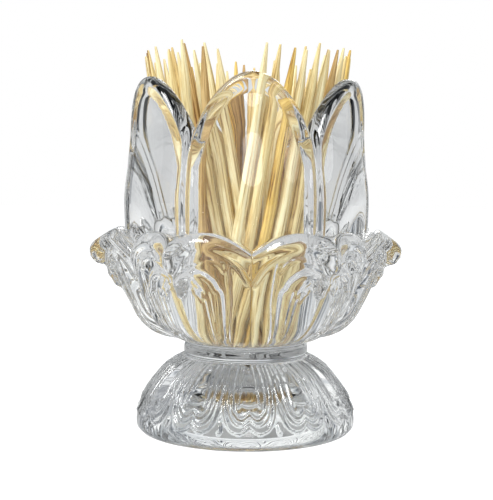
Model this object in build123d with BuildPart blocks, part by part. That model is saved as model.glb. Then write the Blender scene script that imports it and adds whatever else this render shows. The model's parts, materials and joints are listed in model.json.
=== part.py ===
from build123d import *
import os
from math import cos, hypot, radians, sin, tan

# Lotus toothpick holder: one pressed glass, with a hollow foot, a collar, a flared tier of
# curled petals and a cup of upright petals around a conical well, and the loose toothpicks
# that stand in the well. Millimetres. The origin is the centre of the foot's resting plane,
# +Z is up and the front is -Y.

# Foot: hollow underneath, with petals in relief
foot_radius = 25.2
foot_rim_height = 2.4
foot_height = 16.8
foot_waist_radius = 13.8
foot_petals = 12
foot_groove_radius = 2.4
foot_groove_depth = 0.9
foot_groove_start = 5.0  # height of a groove's lower end
foot_groove_end = 15.8  # radius of its upper end
foot_wall = 5.5
hollow_height = 9.5

# Collar between the foot and the flared tier
collar_radius = 14.3
collar_thickness = 3.4

# Flared tier of curled petals
petals = 6
tier_radius = 36.2
tier_tip_height = 40.3
tier_tip_half = 5.6  # half the width of a petal's curled tip, where it leaves the bowl
tier_tip_drop = 10.8  # from the tip down to where it leaves the bowl
tier_tip_thickness = 2.3
tier_crest_radius = 32.3
tier_crest_height = 46.0
tier_saddle_height = 44.2  # top of the rim behind a tip, between its petal's two crests
tier_seat_height = 44.6  # top of the tier, where it meets the cup
tier_valley_radius = 29.2
tier_valley_height = 41.0
valley_half_angle = 69.0
scroll_radius = 1.1
scroll_overlap = 0.5  # how far each stretch of a scroll reaches into the next
tip_drop_radius = 1.7
tip_drop_out = 0.855  # share of the flare
tip_drop_up = 0.597  # share of the bowl's height

# Cup of upright petals
cup_radius = 28.2
cup_top_radius = 26.7
cup_belly_height = 52.0
cup_tip_height = 79.0
cup_valley_height = 65.0
cup_groove_radius = 3.0
cup_groove_depth = 1.2
window_depth = 1.0
window_border = 4.2  # over the window
window_side = 2.7
window_sill = 48.5

# Conical well
well_floor = 22.0
well_floor_radius = 11.9
well_taper = 0.2

# Toothpicks: round, with a point at both ends
pick_diameter = 2.0
pick_length = 65.0
pick_point = 9.0
pick_tip_diameter = 0.6
outer_picks = 33
inner_picks = 24
wall_clearance = 0.3
floor_clearance = 0.3
row_spacing = 2.8
inner_taper = 0.165
outer_parting = -36.0  # where the outer row parts, in degrees round from the front at its feet
inner_parting = 28.0
outer_turn = (12.0, 37.0)  # degrees from foot to head, left and right of the parting
inner_turn = (-48.0, 4.0)
turn_reach = 125.0  # degrees round from the parting where the turn has died away
length_spread = 1.8

FRONT = 270  # the direction of the front, -Y, in degrees from +X
petal_pitch = 360 / petals
overcut = 4.0  # how far each cutting shape reaches past the surface that it cuts
collar_bottom = foot_height
collar_top = collar_bottom + collar_thickness
os.makedirs("parts", exist_ok=True)


def side_plane(azimuth):
    """An upright plane through the axis that faces outward, azimuth degrees round from the front."""
    outward = Vector(sin(radians(azimuth)), -cos(radians(azimuth)), 0)
    across = Vector(cos(radians(azimuth)), sin(radians(azimuth)), 0)
    return Plane(origin=(0, 0, 0), x_dir=across, z_dir=outward)


def slope_plane(azimuth, start, end):
    """A plane square to the line from start to end, both (radius, height), at that azimuth."""
    outward = Vector(sin(radians(azimuth)), -cos(radians(azimuth)), 0)
    low = outward * start[0] + Vector(0, 0, start[1])
    high = outward * end[0] + Vector(0, 0, end[1])
    across = Vector(cos(radians(azimuth)), sin(radians(azimuth)), 0)
    return Plane(origin=low, x_dir=across, z_dir=high - low)


# Windows: the sunk panel of each upright petal, between its borders
half_petal = cup_top_radius * sin(radians(petal_pitch / 2))
window_half = half_petal - window_side
window_top = cup_tip_height - window_border
with BuildPart() as windows:
    for petal in range(petals):
        with BuildSketch(side_plane(petal * petal_pitch)):
            with BuildLine():
                sill = Line((-window_half, window_sill), (window_half, window_sill))
                jamb = Line(sill @ 1, (window_half, cup_valley_height))
                crown = ThreePointArc(
                    jamb @ 1,
                    (window_half * 0.62, (cup_valley_height + window_top) / 2 + 1.7),
                    (0, window_top),
                )
                mirror(crown, about=Plane.YZ)
                Line((-window_half, cup_valley_height), sill @ 0)
            make_face()
    extrude(amount=cup_radius + overcut)
    with BuildSketch(Plane.XZ):
        with BuildLine():
            Polyline(
                (0, tier_crest_height),
                (cup_radius - window_depth, tier_crest_height),
                (cup_radius - window_depth, cup_belly_height),
                (cup_top_radius + 0.3 - window_depth, cup_valley_height),
                (cup_top_radius - window_depth, cup_tip_height),
                (0, cup_tip_height),
                close=True,
            )
        make_face()
    revolve(axis=Axis.Z, mode=Mode.SUBTRACT)

# Curled tips of the tier's petals: one section for all, in a plan that narrows to the tip
tip_reach = tier_radius - tier_crest_radius
tip_root = cup_radius - 2.0
tip_span = tier_radius - tip_root
tip_corner = (tier_crest_radius**2 - tier_tip_half**2) ** 0.5 - 0.5
tip_base = tier_tip_height - tier_tip_drop
with BuildPart() as tip_plans:
    for petal in range(petals):
        across = side_plane((petal + 0.5) * petal_pitch).x_dir
        with BuildSketch(Plane(origin=(0, 0, tip_base - overcut), x_dir=across, z_dir=(0, 0, 1))):
            with BuildLine():
                edge = Spline(
                    (tier_tip_half, -tip_corner),
                    (tier_tip_half * 0.56, -tier_crest_radius - tip_reach * 0.3),
                    (tier_tip_half * 0.27, -tier_radius + tip_reach * 0.14),
                    (0, -tier_radius),
                    tangents=((-1, -0.35), (-1, 0)),
                )
                mirror(edge, about=Plane.YZ)
                Polyline(
                    edge @ 0,
                    (tier_tip_half, -tip_root),
                    (-tier_tip_half, -tip_root),
                    (-tier_tip_half, -tip_corner),
                )
            make_face()
    extrude(amount=tier_crest_height - tip_base + 2 * overcut)
with BuildPart() as tips:
    for petal in range(petals):
        facing = side_plane((petal + 0.5) * petal_pitch)
        with BuildSketch(Plane(origin=(0, 0, 0), x_dir=facing.z_dir, z_dir=-facing.x_dir)):
            with BuildLine():
                under = Spline(
                    (tip_root, tip_base),
                    (tip_root + tip_span * 0.298, tip_base + tier_tip_drop * 0.32),
                    (tip_root + tip_span * 0.5398, tip_base + tier_tip_drop * 0.59),
                    (tip_root + tip_span * 0.8401, tip_base + tier_tip_drop * 0.77),
                    (tier_radius, tier_tip_height),
                )
                curl = ThreePointArc(
                    under @ 1,
                    (tier_radius - 0.3, tier_tip_height + tier_tip_thickness * 0.6),
                    (tier_radius - tier_tip_thickness * 0.7, tier_tip_height + tier_tip_thickness),
                )
                Polyline(curl @ 1, (tip_root, tier_crest_height - 0.2), under @ 0)
            make_face()
    extrude(amount=tier_tip_half + 1, both=True)
    add(tip_plans.part, mode=Mode.INTERSECT)

flare = tier_crest_radius - collar_radius
bowl_height = tier_crest_height - 1 - collar_top


def tier_point(azimuth, out, up):
    """A point of the tier, by its shares of the flare's width and of the bowl's height."""
    radius = collar_radius + flare * out
    return Vector(
        radius * sin(radians(azimuth)), -radius * cos(radians(azimuth)), collar_top + bowl_height * up
    )


# Scrolls: on each side of a petal a round rib climbs the bowl and turns in under the tip.
# Degrees from the petal's middle, share of the flare, share of the bowl's height.
scroll_line = ((13.6, 0.35, 0.11), (15.8, 0.645, 0.335), (14.6, 0.765, 0.53), (7.2, 0.925, 0.71))
with BuildPart() as scrolls:
    for petal in range(petals):
        for side in (-1, 1):
            stops = [
                tier_point((petal + 0.5) * petal_pitch + side * aside, out, up)
                for aside, out, up in scroll_line
            ]
            for low, high in zip(stops[:-1], stops[1:]):
                reach = high - low
                start = low - reach.normalized() * scroll_overlap
                with BuildSketch(Plane(origin=start, z_dir=reach)):
                    Circle(scroll_radius)
                extrude(amount=reach.length + 2 * scroll_overlap)

# The turned body, before the petals are cut from it
hollow_radius = foot_radius - foot_wall
foot_rise = foot_radius - foot_waist_radius
with BuildPart() as glass_vessel:
    with BuildSketch(Plane.XZ):
        with BuildLine():
            base = Line((hollow_radius, 0), (foot_radius - 1.2, 0))
            rim = ThreePointArc(
                base @ 1, (foot_radius - 0.1, foot_rim_height * 0.4), (foot_radius, foot_rim_height)
            )
            slope = Spline(
                rim @ 1,
                (foot_radius - foot_rise * 0.19, foot_height * 0.5),
                (foot_radius - foot_rise * 0.58, foot_height * 0.83),
                (foot_waist_radius, foot_height),
                tangents=((-0.2, 1), (-1, 0.45)),
            )
            collar_middle = (collar_bottom + collar_top) / 2
            collar = ThreePointArc(
                slope @ 1, (collar_radius, collar_middle), (collar_radius - 0.4, collar_top)
            )
            bowl = Spline(
                collar @ 1,
                (collar_radius + flare * 0.31, collar_top + bowl_height * 0.09),
                (collar_radius + flare * 0.53, collar_top + bowl_height * 0.21),
                (collar_radius + flare * 0.77, collar_top + bowl_height * 0.52),
                (collar_radius + flare * 0.92, collar_top + bowl_height * 0.81),
                (tier_crest_radius, collar_top + bowl_height),
                tangents=((1, 0.2), (0.2, 1)),
            )
            lip = ThreePointArc(
                bowl @ 1,
                (tier_crest_radius - 0.4, tier_crest_height - 0.3),
                (tier_crest_radius - 1.3, tier_crest_height),
            )
            top = Line(lip @ 1, (cup_radius - 0.3, tier_seat_height))
            wall = Spline(
                top @ 1,
                (cup_radius, cup_belly_height),
                (cup_top_radius + 0.3, cup_valley_height),
                (cup_top_radius, cup_tip_height + 1),
                tangents=((0.05, 1), (0, 1)),
            )
            well_rim_radius = well_floor_radius + well_taper * (cup_tip_height + 1 - well_floor)
            well = Polyline(
                wall @ 1,
                (well_rim_radius, cup_tip_height + 1),
                (well_floor_radius, well_floor),
                (0, well_floor),
                (0, hollow_height),
            )
            ThreePointArc(well @ 1, (hollow_radius * 0.74, hollow_height * 0.72), base @ 0)
        make_face()
    revolve(axis=Axis.Z)

    add(tips.part)

    # Valleys between each two petals, in two straight stretches up the bowl
    valley_foot = (collar_radius + flare * 0.33, collar_top + bowl_height * 0.10)
    valley_bend = (collar_radius + flare * 0.62, collar_top + bowl_height * 0.37)
    valley_top = (tier_valley_radius, tier_valley_height)
    valley_half = overcut * tan(radians(valley_half_angle))
    for low, high in ((valley_foot, valley_bend), (valley_bend, valley_top)):
        for petal in range(petals):
            with BuildSketch(slope_plane(petal * petal_pitch, low, high)):
                with BuildLine():
                    Polyline((0, 0), (valley_half, -overcut), (-valley_half, -overcut), close=True)
                make_face()
        extrude(amount=hypot(high[0] - low[0], high[1] - low[1]) * 1.05, mode=Mode.SUBTRACT)

    # The rim dips at each valley, and a little behind each tip
    valley_dip = (0.0, cup_radius + 0.2, tier_valley_height, tier_radius * sin(radians(petal_pitch / 4)))
    saddle_dip = (0.5, cup_radius + 1.3, tier_saddle_height, tier_tip_half)
    for shift, start_radius, low_height, half in (valley_dip, saddle_dip):
        dip = tier_crest_height - low_height
        for petal in range(petals):
            with BuildSketch(side_plane((petal + shift) * petal_pitch).offset(start_radius)):
                with BuildLine():
                    shoulder = ThreePointArc(
                        (0, low_height),
                        (half * 0.45, low_height + dip * 0.66),
                        (half, tier_crest_height + 0.1),
                    )
                    mirror(shoulder, about=Plane.YZ)
                    Polyline(
                        shoulder @ 1,
                        (half, tier_crest_height + 2),
                        (-half, tier_crest_height + 2),
                        (-half, tier_crest_height + 0.1),
                    )
                make_face()
    extrude(amount=tier_radius - cup_radius + overcut, mode=Mode.SUBTRACT)

    add(scrolls.part)
    # A drop hangs under each tip
    for petal in range(petals):
        with Locations(tier_point((petal + 0.5) * petal_pitch, tip_drop_out, tip_drop_up)):
            Sphere(tip_drop_radius)

    add(windows.part, mode=Mode.SUBTRACT)
    # Pointed arches: what lies between each two upright petals is cut away
    for petal in range(petals):
        with BuildSketch(side_plane((petal + 0.5) * petal_pitch)):
            with BuildLine():
                arch = ThreePointArc(
                    (-half_petal, cup_tip_height),
                    (-half_petal * 0.34, (cup_tip_height + cup_valley_height) / 2 + 2.2),
                    (0, cup_valley_height),
                )
                mirror(arch, about=Plane.YZ)
                Polyline(
                    arch @ 0,
                    (-half_petal - 1, cup_tip_height + overcut),
                    (half_petal + 1, cup_tip_height + overcut),
                    (half_petal, cup_tip_height),
                )
            make_face()
        extrude(amount=cup_radius + overcut, mode=Mode.SUBTRACT)

    # Grooves between the upright petals
    groove_out = cup_groove_radius - cup_groove_depth
    for petal in range(petals):
        low = (cup_radius + groove_out, tier_crest_height - 1)
        high = (cup_top_radius + groove_out, cup_tip_height)
        with BuildSketch(slope_plane((petal + 0.5) * petal_pitch, low, high)):
            Circle(cup_groove_radius)
    extrude(amount=cup_tip_height - tier_crest_height, mode=Mode.SUBTRACT)

    # Grooves between the foot's petals
    groove_out = foot_groove_radius - foot_groove_depth
    for groove in range(foot_petals):
        low = (foot_radius - 1.0 + groove_out, foot_groove_start)
        high = (foot_groove_end + groove_out * 0.5, foot_height + groove_out * 0.8)
        with BuildSketch(slope_plane((groove + 0.5) * 360 / foot_petals, low, high)):
            Circle(foot_groove_radius)
    extrude(amount=hypot(high[0] - low[0], high[1] - low[1]) - 1, mode=Mode.SUBTRACT)
glass_vessel.part.label = "glass_vessel"
export_step(glass_vessel.part, "parts/glass_vessel.step")


def pick_ends(row, place):
    """Where a toothpick's lower and upper ends stand, and its length."""
    if row == "outer":
        count, inset, taper = outer_picks, 0, well_taper
        parting, turns = outer_parting, outer_turn
    else:
        count, inset, taper = inner_picks, row_spacing, inner_taper
        parting, turns = inner_parting, inner_turn
    length = pick_length - length_spread * (0.5 + 0.5 * sin(place * 3.7 + count))
    foot_out = well_floor_radius - pick_diameter / 2 - wall_clearance + 0.15 - inset
    head_out = foot_out + taper * length * 0.98 - 0.15 - 0.15 * sin(place * 5.1 + count)
    # The toothpicks of a row lean to the left on one side of its parting, to the right on the other
    azimuth = 360 * (place + 0.5) / count
    aside = (azimuth - parting + 180) % 360 - 180
    turn = turns[1 if aside >= 0 else 0] * max(0, 1 - abs(aside) / turn_reach) + 0.5 * sin(place * 2.4)
    foot, head = radians(azimuth), radians(azimuth + turn)
    lower = Vector(foot_out * sin(foot), -foot_out * cos(foot), well_floor + floor_clearance)
    reach = hypot(head_out * sin(head) - lower.X, -head_out * cos(head) - lower.Y)
    upper = Vector(head_out * sin(head), -head_out * cos(head), lower.Z + (length**2 - reach**2) ** 0.5)
    return lower, upper, length


def make_pick(name, lower, upper, length):
    """One toothpick, turned about its own axis from its lower end to its upper end."""
    direction = (upper - lower).normalized()
    across = Vector(0, 0, 1).cross(direction).normalized()
    with BuildPart() as toothpick:
        with BuildSketch(Plane(origin=lower, x_dir=across, z_dir=across.cross(direction))):
            with BuildLine():
                Polyline(
                    (0, 0),
                    (pick_tip_diameter / 2, 0),
                    (pick_diameter / 2, pick_point),
                    (pick_diameter / 2, length - pick_point),
                    (pick_tip_diameter / 2, length),
                    (0, length),
                    close=True,
                )
            make_face()
        revolve(axis=Axis(lower, direction))
    toothpick.part.label = name
    export_step(toothpick.part, f"parts/{name}.step")


number = 0
for row, count in (("outer", outer_picks), ("inner", inner_picks)):
    for place in range(count):
        number += 1
        make_pick(f"toothpick_{number:02d}", *pick_ends(row, place))
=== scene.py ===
"""A pressed-glass lotus toothpick holder with its toothpicks, on a pale floor.

Lengths are millimetres in the modelling code and metres in Blender. Angles are degrees, from
the front, -Y, towards +X. The front of the object is the middle of an upright petal.
"""
import json
import math

import bpy
import numpy as np
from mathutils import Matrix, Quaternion, Vector


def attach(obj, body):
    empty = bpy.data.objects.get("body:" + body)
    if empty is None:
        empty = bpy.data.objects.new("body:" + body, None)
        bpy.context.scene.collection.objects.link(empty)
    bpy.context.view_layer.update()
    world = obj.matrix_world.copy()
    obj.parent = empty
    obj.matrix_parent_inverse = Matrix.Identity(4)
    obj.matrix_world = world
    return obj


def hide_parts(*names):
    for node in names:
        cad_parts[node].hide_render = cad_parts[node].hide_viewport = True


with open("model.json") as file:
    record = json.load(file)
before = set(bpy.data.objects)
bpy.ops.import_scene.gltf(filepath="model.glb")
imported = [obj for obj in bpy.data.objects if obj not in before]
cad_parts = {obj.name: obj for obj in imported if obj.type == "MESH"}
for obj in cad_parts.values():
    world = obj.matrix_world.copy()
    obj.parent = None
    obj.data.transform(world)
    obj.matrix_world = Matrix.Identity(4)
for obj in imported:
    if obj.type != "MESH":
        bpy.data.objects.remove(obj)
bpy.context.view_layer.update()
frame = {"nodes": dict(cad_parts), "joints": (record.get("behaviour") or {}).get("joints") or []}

MM = 0.001


# ---------------------------------------------------------------- small helpers


def from_petal(angle, count, first=0.0):
    """Degrees from the middle of the nearest of count petals, one of which is at first."""
    pitch = 360.0 / count
    return (angle - first + pitch / 2) % pitch - pitch / 2


def ease(x):
    """0 to 1 with flat ends."""
    x = np.clip(x, 0.0, 1.0)
    return x * x * (3 - 2 * x)


def along(points, count):
    """count points on a smooth curve through the given ones, evenly spaced along it."""
    points = np.asarray(points, float)
    chord = np.linalg.norm(np.diff(points, axis=0), axis=1)
    knots = np.concatenate([[0.0], np.cumsum(chord)])
    slopes = np.gradient(points, knots, axis=0)
    places = np.linspace(0.0, knots[-1], count)
    span = np.clip(np.searchsorted(knots, places, side="right") - 1, 0, len(knots) - 2)
    width = (knots[span + 1] - knots[span])[:, None]
    x = (places - knots[span])[:, None] / width
    start, end = points[span], points[span + 1]
    leave, arrive = slopes[span] * width, slopes[span + 1] * width
    return (
        start * (2 * x**3 - 3 * x**2 + 1)
        + leave * (x**3 - 2 * x**2 + x)
        + end * (3 * x**2 - 2 * x**3)
        + arrive * (x**3 - x**2)
    )


def distance_to(u, v, curve):
    """Distance from each point (u, v) to a curve given by close points."""
    best = np.full(u.shape, np.inf)
    for (start_u, start_v), (end_u, end_v) in zip(curve[:-1], curve[1:]):
        run, rise = end_u - start_u, end_v - start_v
        square = run * run + rise * rise + 1e-12
        share = np.clip(((u - start_u) * run + (v - start_v) * rise) / square, 0, 1)
        best = np.minimum(best, np.hypot(u - start_u - share * run, v - start_v - share * rise))
    return best


def bead(distance, half_width):
    """A rounded ridge: 1 on the line, 0 past half_width from it."""
    return ease(1 - distance / half_width)


# ---------------------------------------------------------------- shader nodes


def set_inputs(tree, node, values):
    """Sets a node's sockets, by name or number, to values or to other nodes' outputs."""
    for name, value in values.items():
        if isinstance(value, bpy.types.NodeSocket):
            tree.links.new(value, node.inputs[name])
        else:
            node.inputs[name].default_value = value


def add_node(tree, kind, inputs=None, **settings):
    node = tree.nodes.new(kind)
    for name, value in settings.items():
        setattr(node, name, value)
    set_inputs(tree, node, inputs or {})
    return node


def maths(tree, operation, *inputs, clamp=False):
    """The output of a Math node whose inputs are sockets or numbers."""
    inputs = dict(enumerate(inputs))
    return add_node(tree, "ShaderNodeMath", inputs, operation=operation, use_clamp=clamp).outputs[0]


def ramp(tree, source, stops):
    """The output of a colour ramp over source. stops are (place, (r, g, b))."""
    node = add_node(tree, "ShaderNodeValToRGB", {0: source})
    node.color_ramp.interpolation = "EASE"
    elements = node.color_ramp.elements
    while len(elements) < len(stops):
        elements.new(0.5)
    for element, (place, colour) in zip(elements, stops):
        element.position = place
        element.color = (*colour, 1)
    return node.outputs[0]


def background(tree, colour, strength=1.0):
    """A world's shader. colour is (r, g, b, 1) or a socket."""
    inputs = {"Color": colour, "Strength": strength}
    return add_node(tree, "ShaderNodeBackground", inputs).outputs[0]


def mix_shaders(tree, share, first, second):
    """The first shader where share is 0, the second where it is 1."""
    return add_node(tree, "ShaderNodeMixShader", {0: share, 1: first, 2: second}).outputs[0]


def turned_ray(tree, rays):
    """1 for a ray that glass or gloss has bent or mirrored, by Light Path's outputs."""
    return maths(tree, "MAXIMUM", rays["Is Glossy Ray"], rays["Is Transmission Ray"])


def emptied_tree(holder):
    """The node tree of a material or world, with nothing in it."""
    holder.use_nodes = True
    holder.node_tree.nodes.clear()
    return holder.node_tree


# ---------------------------------------------------------------- camera, light and floor

CAMERA_DISTANCE = 230 * MM
CAMERA_HEIGHT = 54.5 * MM
CAMERA_AIM = 40.9 * MM  # the height that it looks at
CAMERA_AZIMUTH = -2.2
CAMERA_ROLL = 0.5
SENSOR_WIDTH = 36.0
LENS_PER_SENSOR = 2.0

# The room that the glass mirrors and bends: its panels go from 0 in the middle of a panel to 1 in
# the middle of a dark gap, and its levels from 0 straight down to 1 straight up
DARK_GAPS = 4.0
GAP_TURN = math.radians(-90.0)
ROOM_PANELS = [
    (0.0, (1.12, 1.12, 1.1)),
    (0.45, (1, 1, 1)),
    (0.86, (0.82, 0.83, 0.85)),
    (0.95, (0.2, 0.22, 0.25)),
    (1.0, (0.06, 0.07, 0.09)),
]
ROOM_LEVELS = [
    (0.0, (0.55, 0.57, 0.58)),
    (0.42, (0.62, 0.645, 0.66)),
    (0.50, (0.68, 0.705, 0.72)),
    (0.60, (0.74, 0.76, 0.775)),
    (0.68, (1.05, 1.06, 1.07)),
    (0.74, (1.0, 1.01, 1.02)),
    (0.82, (0.4, 0.43, 0.45)),
    (1.0, (0.46, 0.485, 0.5)),
]
WHITE = (1, 1, 1, 1)
EVEN_LIGHT = (0.93, 0.97, 1.0, 1)
EVEN_LIGHT_STRENGTH = 0.58

# Each lamp's name, place, width and height in metres, and power in watts
LAMPS = [
    ("key", (-0.3, -0.35, 0.5), 0.3, 0.3, 3.5),
    ("fill", (0.5, -0.3, 0.35), 0.4, 0.4, 0.8),
    ("back", (0.15, 0.6, 0.45), 0.4, 0.4, 1.6),
    ("strip", (0.04, -1.0, 0.34), 0.5, 0.2, 1.1),
]
LAMP_AIM = Vector((0, 0, 0.05))

FLOOR_SIZE = 6.0
FLOOR_PLACE = (0, 0, -0.0002)
FLOOR_GREY = (0.42, 0.42, 0.42, 1)
FLOOR_GLOW = 0.79  # what the camera sees on top of the lit floor
FLOOR_FAR = 0.4  # metres from the object, where the floor's painted glow seen through the glass is brightest
# Painted glow of the floor seen through the glass, by distance from the object: dim near it as
# painted shade, brighter farther out as painted light
FLOOR_IN_GLASS = [(0.0, (0.04,) * 3), (0.3, (0.11,) * 3), (1.0, (0.38,) * 3)]


def make_camera():
    data = bpy.data.cameras.new("camera")
    data.sensor_width = SENSOR_WIDTH
    data.lens = SENSOR_WIDTH * LENS_PER_SENSOR
    data.clip_start = 0.01
    camera = bpy.data.objects.new("camera", data)
    bpy.context.scene.collection.objects.link(camera)
    turn = math.radians(CAMERA_AZIMUTH)
    camera.location = (
        CAMERA_DISTANCE * math.sin(turn),
        -CAMERA_DISTANCE * math.cos(turn),
        CAMERA_HEIGHT,
    )
    look = (Vector((0, 0, CAMERA_AIM)) - camera.location).to_track_quat("-Z", "Y")
    camera.rotation_mode = "QUATERNION"
    camera.rotation_quaternion = look @ Quaternion((0, 0, 1), math.radians(CAMERA_ROLL))
    bpy.context.scene.camera = camera


def make_world():
    """White to the camera. For what the glass mirrors and bends: a pale grey room with a brighter
    band of panels, dark gaps between them and a duller ceiling. An even light for the rest."""
    world = bpy.data.worlds.new("studio")
    bpy.context.scene.world = world
    tree = emptied_tree(world)
    place = add_node(tree, "ShaderNodeTexCoord").outputs["Generated"]
    x, y, z = add_node(tree, "ShaderNodeSeparateXYZ", {0: place}).outputs
    turn = maths(tree, "ARCTAN2", x, maths(tree, "MULTIPLY", y, -1.0))
    gaps = maths(tree, "COSINE", maths(tree, "MULTIPLY_ADD", turn, DARK_GAPS, GAP_TURN))
    panels = ramp(tree, maths(tree, "MULTIPLY_ADD", gaps, 0.5, 0.5), ROOM_PANELS)
    levels = ramp(tree, maths(tree, "MULTIPLY_ADD", z, 0.5, 0.5), ROOM_LEVELS)
    inputs = {"Factor": 1.0, "A": levels, "B": panels}
    room = add_node(tree, "ShaderNodeMix", inputs, data_type="RGBA", blend_type="MULTIPLY")
    rays = add_node(tree, "ShaderNodeLightPath").outputs
    light = mix_shaders(
        tree,
        turned_ray(tree, rays),
        background(tree, EVEN_LIGHT, EVEN_LIGHT_STRENGTH),
        background(tree, room.outputs["Result"]),
    )
    seen = mix_shaders(tree, rays["Is Camera Ray"], light, background(tree, WHITE))
    add_node(tree, "ShaderNodeOutputWorld", {"Surface": seen})


def make_lamp(name, place, width, height, power):
    """A soft lamp that faces the cup. It lights and is mirrored, and isn't seen through glass."""
    data = bpy.data.lights.new(name, "AREA")
    data.shape = "ELLIPSE"
    data.size = width
    data.size_y = height
    data.energy = power
    lamp = bpy.data.objects.new(name, data)
    bpy.context.scene.collection.objects.link(lamp)
    lamp.location = place
    lamp.visible_transmission = False
    lamp.rotation_euler = (LAMP_AIM - lamp.location).to_track_quat("-Z", "Y").to_euler()


def make_floor():
    """A matt floor, white to the camera, and darker in the glass, where it has a painted glow that
    fades to painted shade near the object.
    """
    bpy.ops.mesh.primitive_plane_add(size=FLOOR_SIZE, location=FLOOR_PLACE)
    floor = bpy.context.object
    floor.name = "floor"
    material = bpy.data.materials.new("pale_floor")
    tree = emptied_tree(material)
    rays = add_node(tree, "ShaderNodeLightPath").outputs
    place = add_node(tree, "ShaderNodeTexCoord").outputs["Object"]
    away = add_node(tree, "ShaderNodeVectorMath", {0: place}, operation="LENGTH").outputs["Value"]
    spread = maths(tree, "DIVIDE", away, FLOOR_FAR, clamp=True)
    # painted glow for the glass to bend and mirror, lowest near the object as painted shade
    in_glass = maths(tree, "MULTIPLY", turned_ray(tree, rays), ramp(tree, spread, FLOOR_IN_GLASS))
    level = maths(tree, "MULTIPLY_ADD", rays["Is Camera Ray"], FLOOR_GLOW, in_glass)
    matt = add_node(tree, "ShaderNodeBsdfDiffuse", {"Color": FLOOR_GREY}).outputs[0]
    glow = add_node(tree, "ShaderNodeEmission", {"Color": WHITE, "Strength": level}).outputs[0]
    both = add_node(tree, "ShaderNodeAddShader", {0: matt, 1: glow}).outputs[0]
    add_node(tree, "ShaderNodeOutputMaterial", {"Surface": both})
    floor.data.materials.append(material)


# ---------------------------------------------------------------- materials

GLASS_COLOUR = (0.985, 0.992, 0.99, 1)
GLASS_WAVES = 220.0  # for each metre
# What is left of a lamp's light past the glass, by the share of the glass's height: the patterned
# foot and tier throw more of it aside than the smooth cup
LIGHT_PAST_GLASS = [
    (0.0, (0.6, 0.61, 0.61)),
    (0.54, (0.6, 0.61, 0.61)),
    (0.62, (0.94, 0.945, 0.945)),
]

# Each wood's name, and the colours of its pale and middling fibres and of its dark flecks
WOODS = [
    ("cream_wood", (0.95, 0.86, 0.55), (0.8, 0.65, 0.32), (0.36, 0.21, 0.07)),
    ("straw_wood", (0.9, 0.76, 0.4), (0.72, 0.53, 0.22), (0.28, 0.15, 0.04)),
    ("honey_wood", (0.84, 0.61, 0.19), (0.62, 0.39, 0.09), (0.22, 0.1, 0.02)),
    ("brown_wood", (0.68, 0.48, 0.21), (0.46, 0.28, 0.1), (0.16, 0.075, 0.02)),
]
DARK_UP_TO, MIDDLING_AT, PALE_FROM = 0.36, 0.46, 0.57  # of the fibres' noise
FIBRE_SCALE = (7.0, 0.055, 1.0)  # fine across the stick, long along it


def glass_material():
    """Clear pressed glass, very slightly wavy, that dims the lamps' light and doesn't stop it."""
    material = bpy.data.materials.new("clear_pressed_glass")
    tree = emptied_tree(material)
    place = add_node(tree, "ShaderNodeTexCoord").outputs["Object"]
    inputs = {"Vector": place, "Scale": GLASS_WAVES, "Detail": 2.0}
    waves = add_node(tree, "ShaderNodeTexNoise", inputs).outputs["Fac"]
    inputs = {"Strength": 0.03, "Distance": 0.0004, "Height": waves}
    bump = add_node(tree, "ShaderNodeBump", inputs).outputs[0]
    inputs = {
        "Base Color": GLASS_COLOUR,
        "Roughness": 0.0,
        "IOR": 1.5,
        "Transmission Weight": 1.0,
        "Normal": bump,
    }
    glass = add_node(tree, "ShaderNodeBsdfPrincipled", inputs).outputs[0]
    height = add_node(tree, "ShaderNodeSeparateXYZ", {0: place}).outputs["Z"]
    share = maths(tree, "DIVIDE", height, TIP_HEIGHT * MM, clamp=True)
    dimmed = {"Color": ramp(tree, share, LIGHT_PAST_GLASS)}
    clear = add_node(tree, "ShaderNodeBsdfTransparent", dimmed).outputs[0]
    shadow_ray = add_node(tree, "ShaderNodeLightPath").outputs["Is Shadow Ray"]
    surface = mix_shaders(tree, shadow_ray, glass, clear)
    add_node(tree, "ShaderNodeOutputMaterial", {"Surface": surface})
    return material


def wood_material(name, pale, middling, dark):
    """Pale wood with long fibres along the stick and darker flecks."""
    material = bpy.data.materials.new(name)
    material.use_nodes = True
    tree = material.node_tree
    place = add_node(tree, "ShaderNodeUVMap", uv_map="grain").outputs[0]
    inputs = {"Vector": place, "Scale": FIBRE_SCALE}
    stretched = add_node(tree, "ShaderNodeMapping", inputs).outputs[0]
    inputs = {"Vector": stretched, "Scale": 1.0, "Detail": 6.0, "Roughness": 0.62}
    fibres = add_node(tree, "ShaderNodeTexNoise", inputs).outputs["Fac"]
    inputs = {"Strength": 0.35, "Distance": 0.00012, "Height": fibres}
    bump = add_node(tree, "ShaderNodeBump", inputs).outputs[0]
    stops = [(DARK_UP_TO, dark), (MIDDLING_AT, middling), (PALE_FROM, pale)]
    inputs = {
        "Base Color": ramp(tree, fibres, stops),
        "Roughness": 0.62,
        "Specular IOR Level": 0.35,
        "Normal": bump,
    }
    set_inputs(tree, tree.nodes["Principled BSDF"], inputs)
    return material


# ---------------------------------------------------------------- the glass's measures

ROUND_STEPS = 720
POLE_RADIUS = 1.0  # of the smallest ring, in the hollow under the foot and on the well's floor
PETALS = 6
PETAL_PITCH = 360.0 / PETALS
HALF_PETAL = PETAL_PITCH / 2
HALF_PETAL_SINE = math.sin(math.radians(HALF_PETAL))
FOOT_PETALS = 12

# The foot and the collar
FOOT_RADIUS = 25.1
FOOT_TOP = 16.8
HOLLOW_RADIUS = 19.7
HOLLOW_HEIGHT = 9.4
WAIST_RADIUS = 13.8
COLLAR_RADIUS = 14.25
COLLAR_TOP = 20.2
COLLAR_MIDDLE = (FOOT_TOP + COLLAR_TOP) / 2

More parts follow.
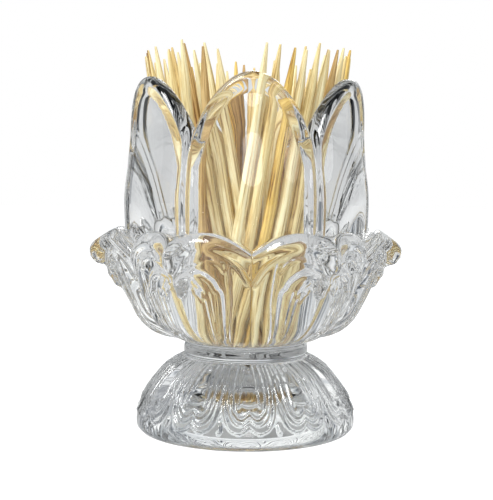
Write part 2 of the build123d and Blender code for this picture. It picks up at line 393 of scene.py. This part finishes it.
# The cup: its wall leans in above the belly and curves in below it
CUP_BELLY = 52.0
CUP_RADIUS = 28.1
CUP_TOP_RADIUS = 26.6
LEAN_END = 3  # how far above the valleys between the petals the wall stops leaning
CURVE_STEP = 8  # this far below the belly,
CURVE_DEPTH = 0.3  # the wall has come in by this much
GROOVE_DEPTH = 1.1  # between two petals
GROOVE_HALF = 2.6  # degrees
VALLEY_HEIGHT = 65.3
TIP_HEIGHT = 78.9
ARCH_ROUND, ARCH_SQUARE = 0.86, 0.14  # shares of a parabola and of a square-shouldered curve
ARCH_STEEPNESS = (1.8, 0.8)  # about how steep the two are at the petal's sides
RIM_ROUNDING = 1.9
RIM_SQUARENESS = 2.2  # 2 is a round rim

# Windows of the upright petals: pillowed panels inside a round band
WINDOW_HALF = 11.6
WINDOW_TOP = 75.0
WINDOW_SHOULDER = 59.0
WINDOW_ARCH = 2.5  # 2 is a parabola, and more is squarer
WINDOW_DEPTH = 0.25  # at the middle of a panel
WINDOW_PILLOW = 1.25  # how much deeper a panel's sides are
WINDOW_CROWN = 0.3  # how much deeper a panel's top is
CROWN_REACH = 7.0  # how far down from its top that goes
BAND_ROUNDING = 2.2

# The well
WELL_FLOOR = 22.0
WELL_FLOOR_RADIUS = 11.9
WELL_TAPER = 0.2  # how much wider it is for each millimetre up
WELL_CORNER = 0.6  # width and height of the slope round its floor

# Sections of the foot and the collar, as (radius, height)
HOLLOW_CEILING = [
    (POLE_RADIUS, HOLLOW_HEIGHT), (9.0, 8.6), (14.6, 6.8), (18.2, 3.4), (HOLLOW_RADIUS, 0.5),
]
STANDING_RING = [(HOLLOW_RADIUS + 0.5, 0.0), (23.6, 0.0)]
FOOT_SLOPE = [
    (24.2, 0.15), (24.9, 0.9), (FOOT_RADIUS, 2.4), (24.15, 5.75), (23.0, 8.5), (21.0, 11.3),
    (18.6, 14.0), (16.6, 15.4), (WAIST_RADIUS, FOOT_TOP),
]
COLLAR = [
    (WAIST_RADIUS, FOOT_TOP + 0.3), (COLLAR_RADIUS - 0.1, COLLAR_MIDDLE - 1.0),
    (COLLAR_RADIUS, COLLAR_MIDDLE), (COLLAR_RADIUS - 0.1, COLLAR_MIDDLE + 0.9),
    (WAIST_RADIUS - 0.1, COLLAR_TOP - 0.2),
]

# The flared tier's section at the tip of a curled petal, at its crests and in the valley
# between two petals, each from the collar up to the edge where the rim's sloping face starts
TIER_TIP = [
    (14.0, 20.4), (20.0, 22.4), (24.2, 25.4), (27.0, 29.3), (28.9, 32.6), (30.6, 35.4),
    (32.6, 37.3), (34.6, 38.0), (35.8, 39.4),
]
TIER_CREST = [
    (14.0, 20.4), (19.8, 22.5), (23.8, 25.4), (26.4, 29.5), (28.1, 33.0), (29.5, 36.6),
    (30.9, 40.4), (31.8, 43.4),
]
TIER_VALLEY = [
    (14.0, 20.4), (19.5, 22.6), (23.2, 25.5), (25.4, 29.3), (26.8, 32.6), (27.8, 35.4),
    (28.6, 37.4), (29.3, 39.3),
]
# From there over the rim and in to the foot of the cup
TIP_TOP = [
    (35.8, 39.4), (36.0, 40.6), (35.6, 42.0), (34.4, 43.2), (32.0, 44.3), (29.8, 45.1),
    (27.9, 45.6),
]
CREST_TOP = [
    (31.8, 43.4), (31.9, 43.9), (31.5, 44.7), (30.8, 45.6), (30.0, 46.0), (28.9, 45.5),
    (27.85, 44.7),
]
VALLEY_TOP = [
    (29.3, 39.3), (29.4, 39.8), (29.3, 40.6), (29.0, 41.2), (28.6, 41.5), (28.1, 41.6),
    (27.65, 41.6),
]
TIP_HALF = 11.0  # degrees from the tip to where its section has died away
TIP_SHARPNESS = 2.2  # 1 dies away evenly, and more stays closer to the tip
CREST_OFFSET = 12.5  # degrees from the tip
VALLEY_SHARPNESS = 1.9  # likewise, closer to the valley
TIER_LENGTH = 31.0  # along the section, from the collar to the edge
FOOT_LENGTH = 21.5  # along the foot's slope

# How many rings of points each stretch of the surface has
HOLLOW_RINGS = 12
STANDING_RINGS = 3
FOOT_RINGS = 64
COLLAR_RINGS = 11
TIER_RINGS = 90
LIP_RINGS = 16
CUP_RINGS = 63
RIM_RINGS = 17
WELL_RINGS = 22
WELL_FLOOR_RINGS = 5

# Lines of the ornament on the tier, in degrees from a petal's tip and shares of its length
CHANNEL = [
    (3, 0.93), (8.2, 0.95), (12, 0.953), (16.5, 0.948), (21, 0.935), (25.5, 0.9), (28.5, 0.83),
]
ARCH_RIDGE = [
    (1.5, 0.84), (4.5, 0.87), (8.4, 0.89), (14.1, 0.9), (18.8, 0.84), (20.8, 0.747), (21, 0.65),
    (20.5, 0.565), (19.5, 0.43), (18.5, 0.3), (17, 0.16),
]
SCROLL = [
    (2.5, 0.8), (4.2, 0.807), (8.1, 0.807), (12, 0.776), (15.1, 0.7), (16.7, 0.58),
    (16.3, 0.428), (14.3, 0.274), (12.5, 0.12), (11.6, 0.02),
]
SCROLL_CURL = [(3.4, 0.75), (3.0, 0.72), (4.2, 0.7), (6.2, 0.7)]
SCROLL_INSIDE = [
    (6.2, 0.75), (8.5, 0.7), (10.9, 0.63), (12.6, 0.54), (12.8, 0.43), (12.2, 0.3),
    (10.8, 0.14),
]
INNER_RIB = [(6.4, 0.68), (8.6, 0.6), (10.2, 0.5), (10.4, 0.4), (9.8, 0.28), (8.6, 0.14)]
TIP_DROP = [(0, 0.79), (0, 0.7)]
PEARL = [(7.2, 0.68), (7.4, 0.675)]

# Lines of the ornament on the foot, in degrees from a petal's middle and shares of its length
FOOT_OUTER = [
    (15, 0.97), (15, 0.84), (14.2, 0.65), (13.6, 0.53), (12.6, 0.39), (10.5, 0.27),
    (7.2, 0.215), (3.4, 0.215), (0, 0.27),
]
FOOT_SECOND = [
    (12, 0.97), (12.1, 0.62), (11.4, 0.5), (10, 0.39), (7.6, 0.31), (4.2, 0.275), (0, 0.33),
]
FOOT_THIRD = [(8.6, 0.97), (9.8, 0.61), (9, 0.47), (6.8, 0.37), (3.2, 0.335), (0, 0.39)]
FOOT_INNER = [(4, 0.97), (5.6, 0.61), (6, 0.5), (3.8, 0.45), (0, 0.43)]
FOOT_DIAMOND = [(15, 0.26), (15, 0.215)]
FOOT_DOT = [(0, 0.88), (0.2, 0.875)]

# Each line's drawing: how far it stands out and its half width, in millimetres
RIM_ORNAMENT = [
    (CHANNEL, -0.45, 1.25),
    (ARCH_RIDGE, 0.35, 0.6),
]
TIER_ORNAMENT = [
    (SCROLL_CURL, 0.35, 0.6),
    (SCROLL_INSIDE, 0.22, 0.45),
    (INNER_RIB, 0.22, 0.45),
    (TIP_DROP, 1.0, 2.0),
    (PEARL, 0.7, 1.0),
]
FOOT_ORNAMENT = [
    (FOOT_OUTER, 0.5, 0.6),
    (FOOT_SECOND, 0.35, 0.5),
    (FOOT_THIRD, 0.5, 0.55),
    (FOOT_INNER, 0.4, 0.5),
    (FOOT_DIAMOND, 0.5, 0.9),
    (FOOT_DOT, 0.4, 0.7),
]
# The scroll has a flat top. Without it, its bead would be SCROLL_CUT times as high
SCROLL_RISE = 0.75
SCROLL_HALF = 1.15
SCROLL_CUT = 1.5
# Where the rim's ornament fades out at a tip, in degrees from it: bare up to the first, and
# whole past the two together
BARE_AT_TIP, FADE_AT_TIP = 2.0, 4.0
# Where ornament fades out along the surface, in shares of its length
FADE_AT_COLLAR, FADE_AT_EDGE, FADE_AT_WAIST = 0.3, 0.02, 0.05
LINE_DETAIL = 9  # points on a drawn line for each one given
TIER_RADII = 40  # places along the crest that give the tier's radius for the drawing

around = np.arange(ROUND_STEPS) * 360.0 / ROUND_STEPS  # degrees of each step round the glass


# ---------------------------------------------------------------- the glass


def petal_share(offset):
    """From 0 at an upright petal's middle to 1 at its sides, measured straight across."""
    return np.abs(np.sin(np.radians(offset))) / HALF_PETAL_SINE


def arch_height(offset):
    """Height of an upright petal's edge, by degrees from its middle."""
    share = petal_share(offset)
    fall = ARCH_ROUND * share**2 + ARCH_SQUARE * share**8
    return TIP_HEIGHT - (TIP_HEIGHT - VALLEY_HEIGHT) * fall


def window_depth(offset, height, radius):
    """How deep the wall is sunk at a place: a petal's panel is deepest along its sharp edge,
    from which the band beside it rises in a quarter round."""
    side = radius * np.abs(np.sin(np.radians(offset)))
    reach = side / WINDOW_HALF
    fall = WINDOW_TOP - WINDOW_SHOULDER
    below_arch = WINDOW_TOP - fall * reach**WINDOW_ARCH - height
    slope = WINDOW_ARCH * fall * reach ** (WINDOW_ARCH - 1) / WINDOW_HALF
    outside = np.maximum(-below_arch / np.hypot(1, slope), side - WINDOW_HALF)
    up_band = np.clip(outside / BAND_ROUNDING, 0, 1)
    share = np.minimum(reach, 1)
    crown = np.clip(1 - below_arch / CROWN_REACH, 0, 1) ** 2
    depth = WINDOW_DEPTH + WINDOW_PILLOW * share**2 + WINDOW_CROWN * crown * (1 - share**2)
    return depth * (1 - np.sqrt(1 - (1 - up_band) ** 2))


def cup_wall(height, offset):
    """Radius of the cup's outer wall, with its grooves and windows."""
    below_belly = CUP_BELLY - np.minimum(height, CUP_BELLY)
    belly = CUP_RADIUS - CURVE_DEPTH * (below_belly / CURVE_STEP) ** 2
    lean = ease((height - CUP_BELLY) / (VALLEY_HEIGHT + LEAN_END - CUP_BELLY))
    radius = belly - (CUP_RADIUS - CUP_TOP_RADIUS) * lean
    groove = GROOVE_DEPTH * bead(HALF_PETAL - np.abs(offset), GROOVE_HALF)
    return radius - groove - window_depth(offset, height, radius)


def turned_rows(section, count):
    """Rows of a turned surface: radius and height are the same all round."""
    return [(np.full(ROUND_STEPS, r), np.full(ROUND_STEPS, z)) for r, z in along(section, count)]


def tier_weights(offset):
    """How much of the tip, crest and valley sections there is, by degrees from the tip."""
    away = np.abs(offset)
    tip = np.clip(1 - away / TIP_HALF, 0, 1) ** TIP_SHARPNESS
    valley = np.clip((away - CREST_OFFSET) / (HALF_PETAL - CREST_OFFSET), 0, 1) ** VALLEY_SHARPNESS
    return tip, (1 - tip) * (1 - valley), (1 - tip) * valley


def tier_rows(tip_section, crest_section, valley_section, count):
    """Rows that blend the three sections round each curled petal."""
    tip, crest, valley = tier_weights(from_petal(around, PETALS, HALF_PETAL))
    sections = [along(section, count) for section in (tip_section, crest_section, valley_section)]
    rows = []
    for at_tip, at_crest, at_valley in zip(*sections):
        radius = tip * at_tip[0] + crest * at_crest[0] + valley * at_valley[0]
        height = tip * at_tip[1] + crest * at_crest[1] + valley * at_valley[1]
        rows.append((radius, height))
    return rows


class Plan:
    """A stretch of the surface unrolled to millimetres, on which ornament is drawn."""

    def __init__(self, rows, offset, length, radii):
        self.share = np.linspace(0, 1, len(rows))[:, None] * np.ones((1, ROUND_STEPS))
        self.radii = radii
        self.length = length
        self.across = np.radians(np.abs(offset))[None, :] * self.radius(self.share)
        self.up = self.share * length

    def radius(self, share):
        return np.interp(share, np.linspace(0, 1, len(self.radii)), self.radii)

    def distance(self, line):
        """Distance in millimetres to a line of (degrees, share) points."""
        straight = len(line) == 2
        curve = np.asarray(line, float) if straight else along(line, LINE_DETAIL * len(line))
        across = np.radians(curve[:, 0]) * self.radius(curve[:, 1])
        return distance_to(self.across, self.up, list(zip(across, curve[:, 1] * self.length)))

    def relief(self, ornament):
        """How far the surface stands out, in millimetres, with an ornament's lines drawn on it."""
        return sum(rise * bead(self.distance(line), half) for line, rise, half in ornament)


def carve(rows, relief):
    """Rows moved outward from the surface by relief, in millimetres."""
    radius = np.array([row[0] for row in rows])
    height = np.array([row[1] for row in rows])
    rise, run = np.gradient(height, axis=0), np.gradient(radius, axis=0)
    length = np.hypot(rise, run) + 1e-9
    return list(zip(radius + relief * rise / length, height - relief * run / length))


def carve_tier(rows):
    offset = from_petal(around, PETALS, HALF_PETAL)
    radii = [radius for radius, _ in along(TIER_CREST, TIER_RADII)]
    plan = Plan(rows, offset, TIER_LENGTH, radii)
    beside_tip = ease((np.abs(offset) - BARE_AT_TIP) / FADE_AT_TIP)[None, :]
    scroll = np.minimum(SCROLL_CUT * bead(plan.distance(SCROLL), SCROLL_HALF), 1)
    relief = plan.relief(RIM_ORNAMENT) * beside_tip
    relief += SCROLL_RISE * scroll + plan.relief(TIER_ORNAMENT)
    fade = ease(plan.share / FADE_AT_COLLAR) * ease((1 - plan.share) / FADE_AT_EDGE)
    return carve(rows, relief * fade)


def carve_foot(rows):
    radii = [float(radius[0]) for radius, _ in rows]
    plan = Plan(rows, from_petal(around, FOOT_PETALS), FOOT_LENGTH, radii)
    return carve(rows, plan.relief(FOOT_ORNAMENT) * ease((1 - plan.share) / FADE_AT_WAIST))


def cup_rows(base):
    """Up the cup's outer wall, over the petals' round edges and down to the well's floor."""
    offset = from_petal(around, PETALS)
    share = petal_share(offset)
    fall = TIP_HEIGHT - VALLEY_HEIGHT
    steepness = fall * (ARCH_STEEPNESS[0] * share + ARCH_STEEPNESS[1] * share**7)
    rounding = RIM_ROUNDING * np.hypot(1, steepness / (CUP_TOP_RADIUS * HALF_PETAL_SINE))
    edge = arch_height(offset) - rounding
    inner = WELL_FLOOR_RADIUS + WELL_TAPER * (edge - WELL_FLOOR)
    rows = []
    for share_up in np.linspace(0, 1, CUP_RINGS + 1)[1:]:
        height = base + (edge - base) * share_up
        rows.append((cup_wall(height, offset), height))
    for turn in np.linspace(0, math.pi, RIM_RINGS + 2)[1:-1]:
        out = math.copysign(abs(math.cos(turn)) ** (2 / RIM_SQUARENESS), math.cos(turn))
        height = edge + rounding * math.sin(turn) ** (2 / RIM_SQUARENESS)
        outer = cup_wall(height, offset)
        rows.append(((outer + inner) / 2 + (outer - inner) / 2 * out, height))
    for share_down in np.linspace(0, 1, WELL_RINGS):
        height = edge + (WELL_FLOOR + WELL_CORNER - edge) * share_down
        rows.append((WELL_FLOOR_RADIUS + WELL_TAPER * (height - WELL_FLOOR), height))
    floor = [(WELL_FLOOR_RADIUS - WELL_CORNER, WELL_FLOOR), (POLE_RADIUS, WELL_FLOOR)]
    return rows + turned_rows(floor, WELL_FLOOR_RINGS)


def closed_surface(rows, low_pole, high_pole):
    """Vertices and faces of the closed surface through rows, with a point at each end."""
    turn = np.radians(around)
    rings = [np.stack([r * np.sin(turn), -r * np.cos(turn), z], axis=1) for r, z in rows]
    vertices = np.concatenate(rings + [np.array([[0, 0, low_pole], [0, 0, high_pole]])])
    faces = []
    step = np.arange(ROUND_STEPS)
    after = (step + 1) % ROUND_STEPS
    for row in range(len(rows) - 1):
        low, high = row * ROUND_STEPS, (row + 1) * ROUND_STEPS
        faces += np.stack([low + step, low + after, high + after, high + step], axis=1).tolist()
    last = (len(rows) - 1) * ROUND_STEPS
    poles = len(rows) * ROUND_STEPS
    faces += [[poles, b, a] for a, b in zip(step.tolist(), after.tolist())]
    faces += [[last + a, last + b, poles + 1] for a, b in zip(step.tolist(), after.tolist())]
    return vertices, faces


def mesh_piece(name, vertices, faces, material):
    """A smooth-shaded object. vertices are in millimetres."""
    mesh = bpy.data.meshes.new(name)
    mesh.from_pydata((np.asarray(vertices) * MM).tolist(), [], faces)
    mesh.validate()
    mesh.polygons.foreach_set("use_smooth", [True] * len(mesh.polygons))
    mesh.materials.append(material)
    piece = bpy.data.objects.new(name, mesh)
    bpy.context.scene.collection.objects.link(piece)
    return piece


def make_glass():
    """The whole pressing as one surface, from the middle of the hollow under the foot outward,
    up the outside, over the rim and down the well."""
    rows = turned_rows(along(HOLLOW_CEILING, HOLLOW_RINGS), HOLLOW_RINGS)
    rows += turned_rows(STANDING_RING, STANDING_RINGS)
    rows += carve_foot(turned_rows(FOOT_SLOPE, FOOT_RINGS))
    rows += turned_rows(COLLAR, COLLAR_RINGS)
    rows += carve_tier(tier_rows(TIER_TIP, TIER_CREST, TIER_VALLEY, TIER_RINGS))
    lip = tier_rows(TIP_TOP, CREST_TOP, VALLEY_TOP, LIP_RINGS)
    rows += lip[1:]
    rows += cup_rows(lip[-1][1])
    vertices, faces = closed_surface(rows, HOLLOW_HEIGHT, WELL_FLOOR)
    glass = mesh_piece("lotus_glass", vertices, faces, glass_material())
    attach(glass, "vessel")
    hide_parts("glass_vessel")


# ---------------------------------------------------------------- toothpicks

PICK_SIDES = 14
PICK_RINGS = 44
PICK_POINT = 9.0  # length of its points
PICK_END_RADIUS = 0.22
PICK_SWELL = 0.72  # how much thicker it is past its points
PICK_POINT_SHAPE = 0.85  # 1 is a straight cone, and less is rounder
# It is a little uneven: its thickness changes in waves along it, and its section has three
# shallow lobes that twist. Turns are in radians, for each millimetre or each toothpick.
THICKNESS_WAVE = 0.012
THICKNESS_TURN = 0.35
LOBES = 3
LOBE_WAVE = 0.02
LOBE_TURN = 0.05
NEXT_TURN = 1.7
NEXT_GRAIN = (3.1, 7.3)  # from one toothpick's place in the grain to the next one's
WOOD_ORDER = (0, 1, 0, 3, 0, 1, 2, 0, 0, 1, 3, 0, 1)


def pick_ends(node):
    """The two ends of a toothpick's node, lower first, in metres."""
    joint = next(j for j in frame["joints"] if j["child"] == node)
    axis = Vector(joint["axis"]).normalized()
    places = [Vector(v.co) for v in frame["nodes"][node].data.vertices]
    heights = [place.dot(axis) for place in places]
    middle = sum(places, Vector()) / len(places)
    on_axis = middle - axis * middle.dot(axis)
    return on_axis + axis * min(heights), on_axis + axis * max(heights)


def make_pick(node, number, material):
    """A round toothpick, a little uneven, with a blunt point at both ends."""
    low, high = pick_ends(node)
    axis = (high - low).normalized()
    across = axis.orthogonal().normalized()
    beside = axis.cross(across)
    length = (high - low).length / MM
    start = number * NEXT_TURN
    vertices, faces, grain = [], [], []
    for ring in range(PICK_RINGS + 1):
        place = length * (0.5 - 0.5 * math.cos(math.pi * ring / PICK_RINGS))
        up_point = min(place, length - place) / PICK_POINT
        radius = PICK_END_RADIUS + PICK_SWELL * min(up_point, 1.0) ** PICK_POINT_SHAPE
        radius *= 1 + THICKNESS_WAVE * math.sin(place * THICKNESS_TURN + start)
        for side in range(PICK_SIDES):
            turn = 2 * math.pi * side / PICK_SIDES
            lobe = math.sin(LOBES * turn + start + place * LOBE_TURN)
            reach = radius * (1 + LOBE_WAVE * lobe)
            offset = across * math.cos(turn) * reach + beside * math.sin(turn) * reach
            vertices.append(tuple((low + axis * place * MM) / MM + offset))
            grain.append((math.cos(turn) * 0.5, place))
    for ring in range(PICK_RINGS):
        lower, upper = ring * PICK_SIDES, (ring + 1) * PICK_SIDES
        for side in range(PICK_SIDES):
            after = (side + 1) % PICK_SIDES
            faces.append([lower + side, lower + after, upper + after, upper + side])
    top = PICK_RINGS * PICK_SIDES
    faces.append(list(range(PICK_SIDES))[::-1])
    faces.append(list(range(top, top + PICK_SIDES)))
    pick = mesh_piece(f"{node}_wood", vertices, faces, material)
    layer = pick.data.uv_layers.new(name="grain")
    for loop in pick.data.loops:
        u, v = grain[loop.vertex_index]
        layer.data[loop.index].uv = (u + number * NEXT_GRAIN[0], v + number * NEXT_GRAIN[1])
    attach(pick, node)
    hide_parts(node)


def make_picks():
    materials = [wood_material(*wood) for wood in WOODS]
    nodes = sorted(n for n in frame["nodes"] if n.startswith("toothpick_"))
    for number, node in enumerate(nodes):
        make_pick(node, number, materials[WOOD_ORDER[number % len(WOOD_ORDER)]])


make_camera()
make_world()
make_floor()
for lamp in LAMPS:
    make_lamp(*lamp)
make_glass()
make_picks()
bpy.context.scene.view_settings.view_transform = "Standard"
